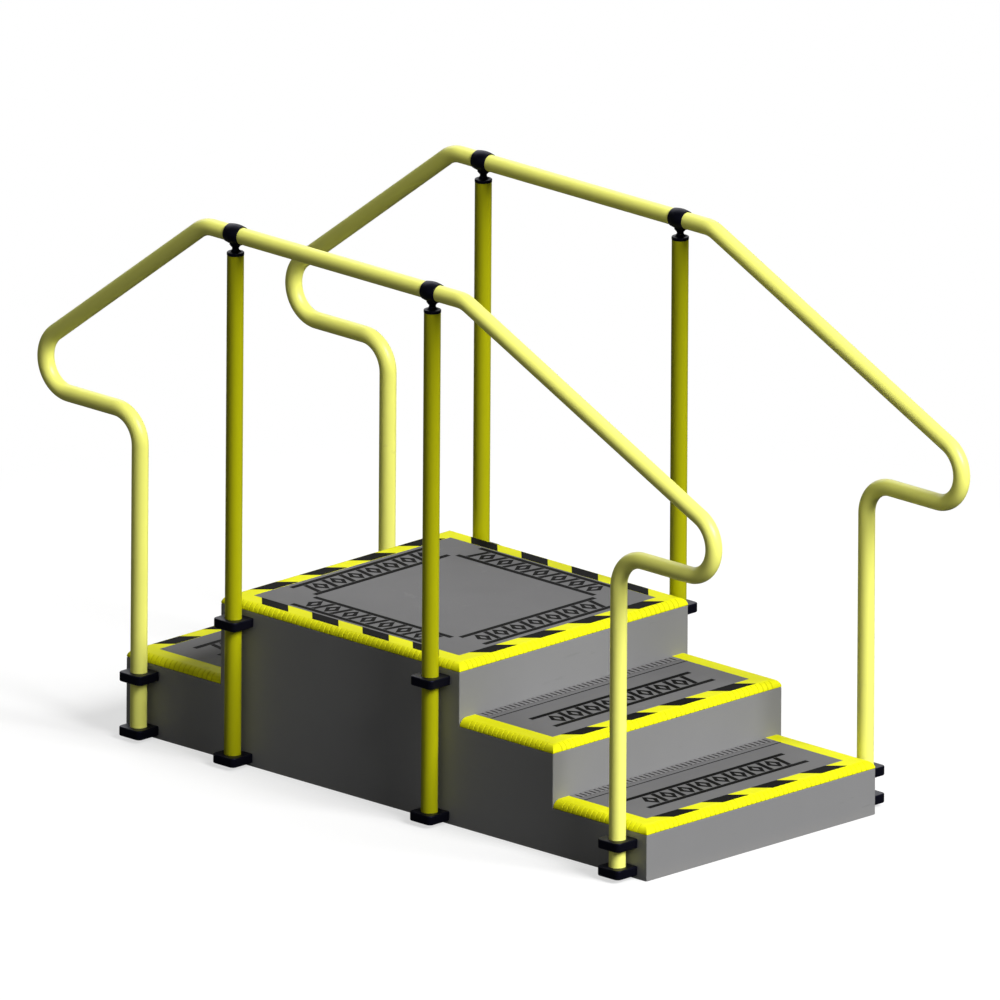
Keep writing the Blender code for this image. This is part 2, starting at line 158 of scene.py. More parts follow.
for name, (direction, strength, spread) in LAMPS.items():
    lamp = bpy.data.objects.new(name, bpy.data.lights.new(name, "SUN"))
    lamp.data.energy = strength
    lamp.data.angle = spread
    lamp.rotation_mode = "QUATERNION"
    lamp.rotation_quaternion = direction.to_track_quat("Z", "Y")
    SCENE.collection.objects.link(lamp)

floor_material, wiring = new_material("studio_floor")
seen = wiring.add("ShaderNodeLightPath").outputs["Is Camera Ray"]
where = wiring.add("ShaderNodeTexCoord").outputs["Object"]
distance = wiring.add("ShaderNodeVectorMath", {0: where}, operation="LENGTH").outputs["Value"]
beyond = wiring.ranged(distance, *SHADOW_REACH)
plain = wiring.mixed(seen, FLOOR_BOUNCE, FLOOR_COLOUR)
matt = wiring.add("ShaderNodeBsdfDiffuse", {"Color": plain})
white = wiring.add("ShaderNodeEmission", {"Color": WHITE, "Strength": 1.0})
glow = wiring.maths("MULTIPLY", wiring.maths("MAXIMUM", beyond, FLOOR_GLOW), seen)
both = wiring.add("ShaderNodeMixShader", {0: glow, 1: matt.outputs[0], 2: white.outputs[0]})
wiring.add("ShaderNodeOutputMaterial", {"Surface": both.outputs[0]})

floor_mesh = bpy.data.meshes.new("floor")
floor_corners = [(x * FLOOR_HALF, y * FLOOR_HALF, 0) for x, y in ((-1, -1), (1, -1), (1, 1), (-1, 1))]
floor_mesh.from_pydata(floor_corners, [], [(0, 1, 2, 3)])
floor_mesh.materials.append(floor_material)
floor = bpy.data.objects.new("floor", floor_mesh)
SCENE.collection.objects.link(floor)


# Side panels: birch plywood 18 mm thick, sawn to the outline of the stairs, mitred where the risers
# meet them, rounded over along their edges and rolled with grey satin paint on the outside.
PANEL_GREY = (0.250, 0.250, 0.252, 1)
PANEL_RUBBED = (0.33, 0.33, 0.33, 1)
DUST = (0.30, 0.29, 0.27, 1)
PALE_VENEER = (0.56, 0.42, 0.25, 1)
BROWN_VENEER = (0.40, 0.27, 0.14, 1)
PORE_BROWN = (0.22, 0.13, 0.06, 1)
GRAIN_STRETCH = (3.0, 26.0, 26.0)
SCUFF_BLUR = 0.06
PANEL_THICKNESS = 0.018
BODY_HALF = 0.900
BODY_SIDE = 0.405
PLATFORM_ENDS = (-0.575, 0.250)
STEP_EDGE = 0.575
# Heights of the finished treads and of the platform above the floor.
TOPS = {"right_1": 0.140, "right_2": 0.280, "left_1": 0.210, "platform": 0.420}
BOARD_AND_TRIM = 0.021
SEAT_GAP = 0.0003
EDGE_ROUND = 0.0014
SAME_POINT = 1e-6
FACING = 0.9
SMOOTH_BELOW = math.radians(40)
SIDES = {"near": -1, "far": 1}


def shared_effect(name, *inputs):
    """A node group with named inputs and its wiring, for effects that several materials use."""
    tree = bpy.data.node_groups.new(name, "ShaderNodeTree")
    for label, kind in inputs:
        tree.interface.new_socket(label, in_out="INPUT", socket_type="NodeSocket" + kind)
    wires = Wiring(tree)
    given = wires.add("NodeGroupInput").outputs
    where = wires.add("ShaderNodeTexCoord").outputs["Object"]
    return tree, wires, given, where


def give_out(tree, wires, label, kind, value):
    """Closes a shared effect with its one output."""
    tree.interface.new_socket(label, in_out="OUTPUT", socket_type="NodeSocket" + kind)
    wires.add("NodeGroupOutput", {0: value})
    return tree


def make_colour_drift():
    """Broad, faint changes of tone, as paint and rubber have from one patch to the next."""
    tree, wires, given, where = shared_effect("colour_drift", ("Colour", "Color"), ("Amount", "Float"),
                                              ("Patch", "Float"))
    size = wires.maths("DIVIDE", 1.0, given["Patch"])
    cloud = wires.add("ShaderNodeTexNoise", {"Vector": where, "Scale": size, "Detail": 3.0}).outputs[0]
    swing = wires.maths("MULTIPLY", wires.maths("SUBTRACT", cloud, 0.5), given["Amount"])
    factor = wires.raised(1.0, swing, by=2.0)
    toned = wires.add("ShaderNodeVectorMath", {0: given["Colour"], "Scale": factor}, operation="SCALE")
    return give_out(tree, wires, "Colour", "Color", toned.outputs[0])


def make_fine_grain():
    """Height of a fine, even grain, such as roller stipple, orange peel or a moulded texture."""
    tree, wires, given, where = shared_effect("fine_grain", ("Grain", "Float"))
    size = wires.maths("DIVIDE", 1.0, given["Grain"])
    grain = wires.add("ShaderNodeTexNoise", {"Vector": where, "Scale": size, "Detail": 2.0,
                                             "Roughness": 0.4}).outputs[0]
    return give_out(tree, wires, "Height", "Float", grain)


def make_scuffs():
    """Mask of sparse rubbed marks, drawn out along one direction."""
    tree, wires, given, where = shared_effect("scuffs", ("Stretch", "Vector"), ("Share", "Float"))
    drawn = wires.add("ShaderNodeVectorMath", {0: where, 1: given["Stretch"]}, operation="MULTIPLY")
    streak = wires.add("ShaderNodeTexNoise", {"Vector": drawn.outputs[0], "Scale": 1.0, "Detail": 4.0,
                                              "Roughness": 0.65}).outputs[0]
    patch = wires.add("ShaderNodeTexNoise", {"Vector": where, "Scale": 7.0, "Detail": 1.0}).outputs[0]
    edge = wires.maths("SUBTRACT", 1.0, given["Share"])
    sharp = wires.ranged(streak, edge, wires.maths("ADD", edge, SCUFF_BLUR))
    scattered = wires.ranged(patch, 0.45, 0.65)
    return give_out(tree, wires, "Mask", "Float", wires.maths("MULTIPLY", sharp, scattered))


def make_floor_dust():
    """Mask of the dust and mop marks that gather just above the floor."""
    tree, wires, given, where = shared_effect("floor_dust", ("Rise", "Float"))
    height = wires.add("ShaderNodeSeparateXYZ", {0: where}).outputs["Z"]
    uneven = wires.add("ShaderNodeTexNoise", {"Vector": where, "Scale": 9.0, "Detail": 4.0}).outputs[0]
    reach = wires.maths("MULTIPLY", given["Rise"], wires.maths("ADD", uneven, 0.35))
    low = wires.maths("SUBTRACT", 1.0, wires.maths("DIVIDE", height, reach), limited=True)
    return give_out(tree, wires, "Mask", "Float", wires.maths("MULTIPLY", low, low))


COLOUR_DRIFT = make_colour_drift()
FINE_GRAIN = make_fine_grain()
SCUFFS = make_scuffs()
FLOOR_DUST = make_floor_dust()


def finished(wires, colour, roughness, height, depth, **constants):
    """Closes a material with its shader: colour, roughness, and a height that stands up to a depth."""
    bump = wires.add("ShaderNodeBump", {"Strength": 1.0, "Distance": depth, "Height": height})
    shader = wires.add("ShaderNodeBsdfPrincipled",
                       {"Base Color": colour, "Roughness": roughness, "Normal": bump.outputs[0]})
    for name, value in constants.items():
        shader.inputs[name.replace("_", " ")].default_value = value
    wires.add("ShaderNodeOutputMaterial", {"Surface": shader.outputs[0]})


def rolled_paint(name, colour, rubbed):
    """Satin paint from a foam roller on board, with shoe scuffs and dust above the floor."""
    made, wires = new_material(name)
    tone = wires.group(COLOUR_DRIFT, {"Colour": colour, "Amount": 0.05, "Patch": 0.16})
    marks = wires.group(SCUFFS, {"Stretch": (9, 9, 60), "Share": 0.36})
    marked = wires.tinted(tone, rubbed, marks, strength=0.20)
    dust = wires.group(FLOOR_DUST, {"Rise": 0.05})
    dusty = wires.tinted(marked, DUST, dust, strength=0.22)
    stipple = wires.group(FINE_GRAIN, {"Grain": 0.0016})
    dull = wires.raised(0.50, marks, by=0.15)
    finished(wires, dusty, dull, stipple, depth=0.00016, Specular_IOR_Level=0.35)
    return made


def bare_plywood():
    """Rotary-cut birch veneer: long wandering grain, and fine pores along it."""
    made, wires = new_material("bare_plywood")
    where = wires.add("ShaderNodeTexCoord").outputs["Object"]
    along = wires.add("ShaderNodeVectorMath", {0: where, 1: GRAIN_STRETCH}, operation="MULTIPLY").outputs[0]
    grain = wires.add("ShaderNodeTexNoise", {"Vector": along, "Scale": 1.0, "Detail": 5.0,
                                             "Distortion": 1.4}).outputs[0]
    pores = wires.add("ShaderNodeTexNoise", {"Vector": along, "Scale": 14.0, "Detail": 2.0}).outputs[0]
    veneer = wires.mixed(wires.ranged(grain, 0.35, 0.68), PALE_VENEER, BROWN_VENEER)
    pored = wires.mixed(wires.ranged(pores, 0.60, 0.75, low=0, high=0.4), veneer, PORE_BROWN)
    dull = wires.ranged(grain, 0.3, 0.7, low=0.62, high=0.75)
    finished(wires, pored, dull, pores, depth=0.0002, Specular_IOR_Level=0.3)
    return made


PANEL_PAINT = rolled_paint("panel_paint", PANEL_GREY, PANEL_RUBBED)
BARE_PLYWOOD = bare_plywood()


def join_rows(shape, low, high):
    """Adds the faces between two closed rows of points."""
    for i in range(len(low)):
        k = (i + 1) % len(low)
        shape.faces.new((low[i], low[k], high[k], high[i]))


def mesh_from(name, shape):
    """Makes a mesh of a shape, with its faces turned outward."""
    bmesh.ops.recalc_face_normals(shape, faces=shape.faces[:])
    mesh = bpy.data.meshes.new(name)
    shape.to_mesh(mesh)
    shape.free()
    return mesh


def solid_over(name, rings, closed=False):
    """One closed mesh over rings of equally many points, capped at both ends unless it closes."""
    shape = bmesh.new()
    rows = [[shape.verts.new(point) for point in ring] for ring in rings]
    for low, high in zip(rows, rows[1:]):
        join_rows(shape, low, high)
    if closed:
        join_rows(shape, rows[-1], rows[0])
    else:
        shape.faces.new(rows[0])
        shape.faces.new(rows[-1])
    bmesh.ops.remove_doubles(shape, verts=shape.verts[:], dist=SAME_POINT)
    return mesh_from(name, shape)


def two_finishes(mesh, main, other, picked):
    """Gives a mesh its main finish, and another one on the faces that are picked."""
    mesh.materials.append(main)
    mesh.materials.append(other)
    for face in mesh.polygons:
        face.material_index = int(picked(face))


def put(name, mesh, material, body, slot, *nodes):
    """Adds a piece to the stairs in its finish, on its body and in place of its solids."""
    if not mesh.materials:
        mesh.materials.append(material)
    mesh.shade_smooth()
    mesh.set_sharp_from_angle(angle=SMOOTH_BELOW)
    piece = bpy.data.objects.new(name, mesh)
    SCENE.collection.objects.link(piece)
    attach(piece, body)
    if nodes:
        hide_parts(*nodes)
    return piece


def round_over(piece, radius, turns=3):
    """Rounds all the sharp edges of a piece."""
    change = piece.modifiers.new("round_over", "BEVEL")
    change.width = radius
    change.segments = turns
    change.limit_method = "ANGLE"
    change.angle_limit = SMOOTH_BELOW
    change.harden_normals = True


def panel_outline(inset):
    """The panel's corners in X and Z, with its upright edges moved in for the inner face."""
    under = {name: top - BOARD_AND_TRIM - SEAT_GAP for name, top in TOPS.items()}
    return [(-BODY_HALF + inset, 0), (-BODY_HALF + inset, under["left_1"]),
            (PLATFORM_ENDS[0] + inset, under["left_1"]), (PLATFORM_ENDS[0] + inset, under["platform"]),
            (PLATFORM_ENDS[1] - inset, under["platform"]), (PLATFORM_ENDS[1] - inset, under["right_2"]),
            (STEP_EDGE - inset, under["right_2"]), (STEP_EDGE - inset, under["right_1"]),
            (BODY_HALF - inset, under["right_1"]), (BODY_HALF - inset, 0)]


for side, sign in SIDES.items():
    faces = ((0, BODY_SIDE), (PANEL_THICKNESS, BODY_SIDE - PANEL_THICKNESS))
    rings = [[(x, sign * y, z) for x, z in panel_outline(inset)] for inset, y in faces]
    panel_mesh = solid_over(f"panel_{side}", rings)
    two_finishes(panel_mesh, PANEL_PAINT, BARE_PLYWOOD, lambda face: face.normal.y * sign < -FACING)
    panel = put(f"panel_{side}", panel_mesh, PANEL_PAINT, "stairs", "panel_paint", f"side_panel_{side}")
    round_over(panel, EDGE_ROUND)


# Risers: plywood boards glued between the side panels on mitres and painted nearly the same grey.
# Each has a front face in X, a way that it faces, a foot on the floor or on the batten behind the
# tread below, and the tread or platform that it carries.
RISER_GREY = (0.214, 0.214, 0.216, 1)
RISER_RUBBED = (0.14, 0.14, 0.14, 1)
RISERS = {
    "riser_left_1": (-BODY_HALF, -1, 0, "left_1"),
    "riser_left_2": (PLATFORM_ENDS[0], -1, TOPS["left_1"] - BOARD_AND_TRIM, "platform"),
    "riser_right_1": (BODY_HALF, 1, 0, "right_1"),
    "riser_right_2": (STEP_EDGE, 1, TOPS["right_1"] - BOARD_AND_TRIM, "right_2"),
    "riser_right_3": (PLATFORM_ENDS[1], 1, TOPS["right_2"] - BOARD_AND_TRIM, "platform"),
}
RISER_PAINT = rolled_paint("riser_paint", RISER_GREY, RISER_RUBBED)


def block_over(name, corners, foot, head):
    """A block over its corners in X and Y, from one height to another."""
    return solid_over(name, [[(x, y, z) for x, y in corners] for z in (foot, head)])


for node, (front, way, foot, above) in RISERS.items():
    inner = BODY_SIDE - PANEL_THICKNESS
    behind = front - way * PANEL_THICKNESS
    corners = ((front, -BODY_SIDE), (front, BODY_SIDE), (behind, inner), (behind, -inner))
    board_mesh = block_over(f"{node}_board", corners, foot, TOPS[above] - BOARD_AND_TRIM - SEAT_GAP)
    two_finishes(board_mesh, RISER_PAINT, BARE_PLYWOOD, lambda face: face.normal.x * way < -FACING)
    board = put(f"{node}_board", board_mesh, RISER_PAINT, "stairs", "riser_paint", node)
    round_over(board, EDGE_ROUND)


# Boards, battens and joists: bare plywood and sawn strips, glued and screwed inside the body. Only
# their undersides show, from below.
for node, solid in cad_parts.items():
    if "board" in node or "batten" in node or "joist" in node:
        solid.material_slots[0].material = BARE_PLYWOOD


# Edge trim: yellow moulded nosing, 21 mm deep with a flat band 36 mm wide, mitred at the corners and
# glued over the rounded board edges. Its noses have fine cross grooves, painted darker as shade in them.
TRIM_YELLOW = (0.78, 0.78, 0.003, 1)
TRIM_RUBBED = (0.45, 0.43, 0.03, 1)
# Painted shade: the faces in the grooves take a darker yellow, and darker scuffs too.
GROOVE_SHADE_YELLOW = (0.61, 0.60, 0.003, 1)
GROOVE_SHADE_RUBBED = (0.30, 0.28, 0.03, 1)
TRIM_WIDTH = 0.057
TRIM_THICKNESS = 0.003
LIP_ROUND = 0.0010
FOOT_ROUND = 0.0024
FOOT_TURNS = 4
FOOT_STEP = 0.0001
NOSE_TURNS = 10
RIB_PITCH = 0.0162
# One groove's section: distance along the nose and share of the full depth.
RIB_GROOVE = ((-0.0021, 0), (-0.0016, 1), (0.0016, 1), (0.0021, 0))
RIB_DEPTH = 0.0010
# How far round the nose the grooves begin to fade, and where they are gone.
RIB_FADE = (math.radians(56), math.radians(88))
GROOVE_SLACK = 0.0003
NOSE_SKIN = 0.0006
GROOVE_FACE_AREA = RIB_PITCH * 0.002
# The rounding of a free end: distance from the end and how far the nose is cut in there.
END_ROUND = ((0, 0.0018), (0.0004, 0.0011), (0.0010, 0.0005), (0.0018, 0.0001))


def moulded_rubber(name, colour, rubbed, depth, sheen):
    """Moulded rubber: an even fine texture, faint drift of tone, and scuffs from shoes."""
    made, wires = new_material(name)
    tone = wires.group(COLOUR_DRIFT, {"Colour": colour, "Amount": 0.04, "Patch": 0.07})
    marks = wires.group(SCUFFS, {"Stretch": (30, 30, 30), "Share": 0.37})
    marked = wires.tinted(tone, rubbed, marks, strength=0.22)
    texture = wires.group(FINE_GRAIN, {"Grain": 0.0011})
    dull = wires.raised(0.60, texture, by=0.15)
    finished(wires, marked, dull, texture, depth, Specular_IOR_Level=sheen)
    return made


TRIM_RUBBER = moulded_rubber("trim_rubber", TRIM_YELLOW, TRIM_RUBBED, depth=0.00012, sheen=0.15)
GROOVE_SHADE_RUBBER = moulded_rubber("groove_shade_rubber", GROOVE_SHADE_YELLOW, GROOVE_SHADE_RUBBED, depth=0.00012, sheen=0.10)


def even_shading(piece):
    """Keeps the flats of a piece flat where rounded edges run into them."""
    piece.modifiers.new("even_shading", "WEIGHTED_NORMAL").keep_sharp = True


def trim_section(top, groove):
    """Inset and height of the nosing's outline, with the nose cut in by a groove of some depth."""
    foot = top - BOARD_AND_TRIM
    first_turn = math.asin(FOOT_ROUND / BOARD_AND_TRIM)
    side = BOARD_AND_TRIM * (1 - math.cos(first_turn)) + groove
    deep = TRIM_THICKNESS - SEAT_GAP
    points = [(deep, foot)]
    for i in range(FOOT_TURNS):
        turn = i / FOOT_TURNS * math.pi / 2
        points.append((min(side + FOOT_ROUND * (1 - math.sin(turn)), deep - FOOT_STEP * (i + 1)),
                       foot + FOOT_ROUND * (1 - math.cos(turn))))
    for i in range(NOSE_TURNS + 1):
        turn = first_turn + i / NOSE_TURNS * (math.pi / 2 - first_turn)
        fade = min(1, max(0, (RIB_FADE[1] - turn) / (RIB_FADE[1] - RIB_FADE[0])))
        radius = BOARD_AND_TRIM - groove * fade
        points.append((BOARD_AND_TRIM - radius * math.cos(turn), foot + radius * math.sin(turn)))
    points += [(TRIM_WIDTH - LIP_ROUND, top), (TRIM_WIDTH, top - LIP_ROUND),
               (TRIM_WIDTH, top - TRIM_THICKNESS + SEAT_GAP)]
    hollow = BOARD_AND_TRIM - TRIM_THICKNESS + SEAT_GAP
    for i in range(NOSE_TURNS // 2, 0, -1):
        turn = i / (NOSE_TURNS // 2) * math.pi / 2
        points.append((BOARD_AND_TRIM - hollow * math.cos(turn), foot + hollow * math.sin(turn)))
    return points


def trim_run(top, start, end, mitres):
    """Rings of one straight side of the trim from corner to corner, with the grooves of its nose."""
    along = (end - start).normalized()
    inward = Vector((-along.y, along.x, 0))
    length = (end - start).length
    places = [(0, 0)] if mitres[0] else list(END_ROUND)
    places += [(length, 0)] if mitres[1] else [(length - place, cut) for place, cut in END_ROUND]
    count = int((length - 2 * BOARD_AND_TRIM) / RIB_PITCH)
    for number in range(count):
        centre = length / 2 + (number - (count - 1) / 2) * RIB_PITCH
        places += [(centre + aside, RIB_DEPTH * share) for aside, share in RIB_GROOVE]
    rings = []
    for place, groove in sorted(places):
        ring = []
        for inset, height in trim_section(top, groove):
            first = inset if mitres[0] else 0
            last = length - (inset if mitres[1] else 0)
            onward = along * min(max(place, first), last)
            ring.append(start + inward * inset + Vector((0, 0, height)) + onward)
        rings.append(ring)
    return rings


def in_groove(face, top, free_ends):
    """Whether a face is at the bottom or on a side of one of the cross grooves."""
    x, y, z = face.center
    inset = min(BODY_SIDE - abs(y), min(abs(end - x) for end in free_ends))
    reach = math.hypot(BOARD_AND_TRIM - inset, z - top + BOARD_AND_TRIM)
    deep = BOARD_AND_TRIM - RIB_DEPTH - GROOVE_SLACK < reach < BOARD_AND_TRIM - NOSE_SKIN
    return deep and face.area < GROOVE_FACE_AREA


# Where each step begins and ends in X, from its back to its nose.
STEP_ENDS = {"right_1": (STEP_EDGE, BODY_HALF), "right_2": (PLATFORM_ENDS[1], STEP_EDGE),
             "left_1": (PLATFORM_ENDS[0], -BODY_HALF), "platform": PLATFORM_ENDS}
for step, (back, front) in STEP_ENDS.items():
    gap = 0 if step == "platform" else math.copysign(SEAT_GAP, front - back)
    corners = [Vector((back + gap, -BODY_SIDE, 0)), Vector((front, -BODY_SIDE, 0)),
               Vector((front, BODY_SIDE, 0)), Vector((back + gap, BODY_SIDE, 0))]
    if front < back:
        corners.reverse()
    if step == "platform":
        runs = [(corners[i], corners[(i + 1) % 4], (True, True)) for i in range(4)]
    else:
        runs = [(corners[0], corners[1], (False, True)), (corners[1], corners[2], (True, True)),
                (corners[2], corners[3], (True, False))]
    rings = []
    for start, end, mitres in runs:
        rings += trim_run(TOPS[step], start, end, mitres)[1 if rings else 0:]
    if step == "platform":
        rings.pop()
    free_ends = (back, front) if step == "platform" else (front,)
    trim_mesh = solid_over(f"trim_{step}", rings, closed=step == "platform")
    # The faces in the grooves take the darker yellow of painted shade.
    two_finishes(trim_mesh, TRIM_RUBBER, GROOVE_SHADE_RUBBER, lambda face: in_groove(face, TOPS[step], free_ends))
    even_shading(put(f"trim_{step}", trim_mesh, TRIM_RUBBER, "stairs", "trim_rubber", f"edge_trim_{step}"))


# Hazard marks: black rubber let into the flat band of the trim, four along the nose of each tread and
# along every side of the platform, with their ends cut at 45 degrees. Each row sits a little to one
# side, as in the picture.
MARK_BLACK = (0.0015, 0.0015, 0.0015, 1)
MARK_RUBBED = (0.02, 0.02, 0.02, 1)
MARK_STAND = 0.0003
MARK_SINK = 0.0005
MARK_BAND = (0.0180, 0.0564)
MARK_LENGTH = 0.0910
MARK_PITCH = 0.1740
MARKS_A_SIDE = 4
# The sides that have marks, counted round from the near one, and the shift of each row.
MARK_SHIFTS = {"right_1": {1: -0.0030}, "right_2": {1: 0.0050}, "left_1": {3: 0.0025},
               "platform": {0: -0.0010, 1: 0.0130, 2: -0.0045, 3: -0.0060}}
MARK_RUBBER = moulded_rubber("mark_rubber", MARK_BLACK, MARK_RUBBED, depth=0.00010, sheen=0.06)


def plates(name, outlines, top, material, slot):
    """Thin flat plates, one for each outline, seated in a surface at a height."""
    shape = bmesh.new()
    for points in outlines:
        low = [shape.verts.new((x, y, top - MARK_SINK)) for x, y in points]
        high = [shape.verts.new((x, y, top + MARK_STAND)) for x, y in points]
        shape.faces.new(low)
        shape.faces.new(high)
        join_rows(shape, low, high)
    return put(name, mesh_from(name, shape), material, "stairs", slot)


def side_marks(start, end, shift):
    """The marks along one side of a trim, whose outer edges lie further on than their inner ones."""
    along = (end - start).normalized()
    inward = Vector((-along.y, along.x, 0))
    lean = (MARK_BAND[1] - MARK_BAND[0]) / 2
    marks = []
    for number in range(MARKS_A_SIDE):
        centre = (start + end) / 2 + along * ((number - (MARKS_A_SIDE - 1) / 2) * MARK_PITCH + shift)
        marks.append([(centre + along * place + inward * MARK_BAND[side]).xy
                      for side, place in ((0, lean - MARK_LENGTH / 2), (0, lean + MARK_LENGTH / 2),
                                          (1, MARK_LENGTH / 2 - lean), (1, -MARK_LENGTH / 2 - lean))])
    return marks


for step, ends in STEP_ENDS.items():
    low, high = sorted(ends)
    corners = [Vector((low, -BODY_SIDE, 0)), Vector((high, -BODY_SIDE, 0)), Vector((high, BODY_SIDE, 0)),
               Vector((low, BODY_SIDE, 0))]
    marks = []
    for number, shift in MARK_SHIFTS[step].items():
        marks += side_marks(corners[number], corners[(number + 1) % 4], shift)
    plates(f"hazard_marks_{step}", marks, TOPS[step], MARK_RUBBER, "trim_rubber")


# Mats: grey sheet rubber 3 mm thick with a fine pebbled face, cut to lie flush inside the trim and
# glued to the boards.
MAT_GREY = (0.150, 0.149, 0.153, 1)
WORN_GREY = (0.24, 0.24, 0.24, 1)
PEBBLE = 0.0034
MAT_EDGE = 0.0010
MAT_EDGE_TURNS = 2


def pebbled_rubber(name, colour):
    """Sheet rubber with a pebbled face, a faint drift of tone and pale wear where feet land."""
    made, wires = new_material(name)
    where = wires.add("ShaderNodeTexCoord").outputs["Object"]
    tone = wires.group(COLOUR_DRIFT, {"Colour": colour, "Amount": 0.05, "Patch": 0.10})
    marks = wires.group(SCUFFS, {"Stretch": (34, 22, 30), "Share": 0.40})
    worn = wires.tinted(tone, WORN_GREY, marks, strength=0.16)
    hollows = wires.add("ShaderNodeTexVoronoi", {"Vector": where, "Scale": 1 / PEBBLE},
                        feature="SMOOTH_F1").outputs["Distance"]
    speckle = wires.group(FINE_GRAIN, {"Grain": 0.0007})
    pebbles = wires.maths("MULTIPLY", hollows, -1.0)
    height = wires.raised(pebbles, speckle, by=0.25)
    dull = wires.raised(0.72, speckle, by=0.16)
    finished(wires, worn, dull, height, depth=0.0003, Specular_IOR_Level=0.3)
    return made


MAT_RUBBER = pebbled_rubber("mat_rubber", MAT_GREY)

for step in TOPS:
    node = "platform_mat" if step == "platform" else f"tread_mat_{step}"
    low, high = (Vector(corner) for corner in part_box(node))
    corners = ((low.x, low.y), (high.x, low.y), (high.x, high.y), (low.x, high.y))
    mat_mesh = block_over(f"mat_{step}", corners, low.z, high.z)
    mat = put(f"mat_{step}", mat_mesh, MAT_RUBBER, "stairs", "mat_rubber", node)
    round_over(mat, MAT_EDGE, MAT_EDGE_TURNS)


# Printed bands: a pair of black rules on each mat with a plain row of lozenges and slanted bars
# between them, one band on a tread and four round the middle of the platform. A thin black line
# also runs along the back of each tread, a little in front of the ribbed strip.
RULE = 0.0145
THIN_LINE = 0.0036
THIN_LINE_FROM_BACK = 0.0517
BAND_WIDTH = 0.0980
BAND_STROKE = 0.0135
BAND_CELL = 0.0620
BAND_END_GAP = 0.012
PRINT_GAP = 0.0020
TREAD_BAND_FROM_NOSE = 0.108
TREAD_BAND_HALF = 0.282
PLATFORM_BAND_OUT = 0.3405
PLATFORM_BAND_IN = 0.2455
CORNER_GAP = 0.0080
LOZENGE_HALF = 0.0205
LOZENGE_ASIDE = 0.0125
LOZENGE_TIP = 1.2
BAR_ASIDE = 0.0115
BAR_LEAN = 0.42


def band(half_length, width):
    """The outlines of one band about its own middle, lengthways in X and across in Y."""
    outlines = [[(-half_length, y), (half_length, y), (half_length, y + RULE), (-half_length, y + RULE)]
                for y in (-width / 2, width / 2 - RULE)]
    reach = width / 2 - RULE - PRINT_GAP
    lean = reach * BAR_LEAN
    cells = int(2 * (half_length - BAND_END_GAP) / BAND_CELL)
    for number in range(cells):
        x = (number - (cells - 1) / 2) * BAND_CELL
        hub = x - LOZENGE_ASIDE
        for sign in (-1, 1):
            for turn in (-1, 1):
                outlines.append([(hub + sign * LOZENGE_HALF, 0),
                                 (hub + sign * (LOZENGE_HALF - BAND_STROKE), 0),
                                 (hub, turn * (reach - BAND_STROKE * LOZENGE_TIP)), (hub, turn * reach)])
        foot = x + BAR_ASIDE - lean / 2
        outlines.append([(foot, -reach), (foot + BAND_STROKE, -reach), (foot + lean + BAND_STROKE, reach),
                         (foot + lean, reach)])
    return outlines


def turned_band(outlines, quarter_turns, centre):
    """A band turned by quarters and moved to its place."""
    angle = quarter_turns * math.pi / 2
    cos = math.cos(angle)
    sin = math.sin(angle)
    return [[(centre[0] + x * cos - y * sin, centre[1] + x * sin + y * cos) for x, y in points]
            for points in outlines]


for step, (back, front) in STEP_ENDS.items():
    if step == "platform":
        centre = (back + front) / 2
        out = (PLATFORM_BAND_OUT + PLATFORM_BAND_IN) / 2
        one_side = band(PLATFORM_BAND_IN - CORNER_GAP, PLATFORM_BAND_OUT - PLATFORM_BAND_IN)
        places = ((centre, -out), (centre + out, 0), (centre, out), (centre - out, 0))
        print_outlines = []
        for quarter, place in enumerate(places):
            print_outlines += turned_band(one_side, quarter, place)
    else:
        way = 1 if front > back else -1
        print_outlines = turned_band(band(TREAD_BAND_HALF, BAND_WIDTH), way,
                                     (front - way * (TREAD_BAND_FROM_NOSE + BAND_WIDTH / 2), 0))
        line_end = BODY_SIDE - TRIM_WIDTH - SEAT_GAP
        first = back + way * THIN_LINE_FROM_BACK
        second = back + way * (THIN_LINE_FROM_BACK + THIN_LINE)
        print_outlines.append([(first, -line_end), (second, -line_end), (second, line_end),
                               (first, line_end)])
    plates(f"print_{step}", print_outlines, TOPS[step], MARK_RUBBER, "mat_rubber")


# Ribbed strips: a narrow length of rubber with cross ribs along the foot of the riser behind each
# tread, with a plain margin along both its edges. Its grooves and edge chamfers are painted dark as shade.
STRIP_GREY = (0.195, 0.192, 0.197, 1)
# Painted shade: a dark grey for the faces in the grooves and on the chamfered edges.
STRIP_SHADE_GREY = (0.060, 0.058, 0.058, 1)
STRIP_MARGIN = 0.0045
STRIP_GROOVE = ((-0.0030, 0), (-0.0024, 1), (0.0024, 1), (0.0030, 0))
STRIP_DEPTH = 0.0021
STRIP_EDGE = 0.0014
STRIP_SHADE_BELOW = STRIP_EDGE / 3
STRIP_RUBBER = pebbled_rubber("strip_rubber", STRIP_GREY)
SHADED_STRIP_RUBBER = pebbled_rubber("shaded_strip_rubber", STRIP_SHADE_GREY)

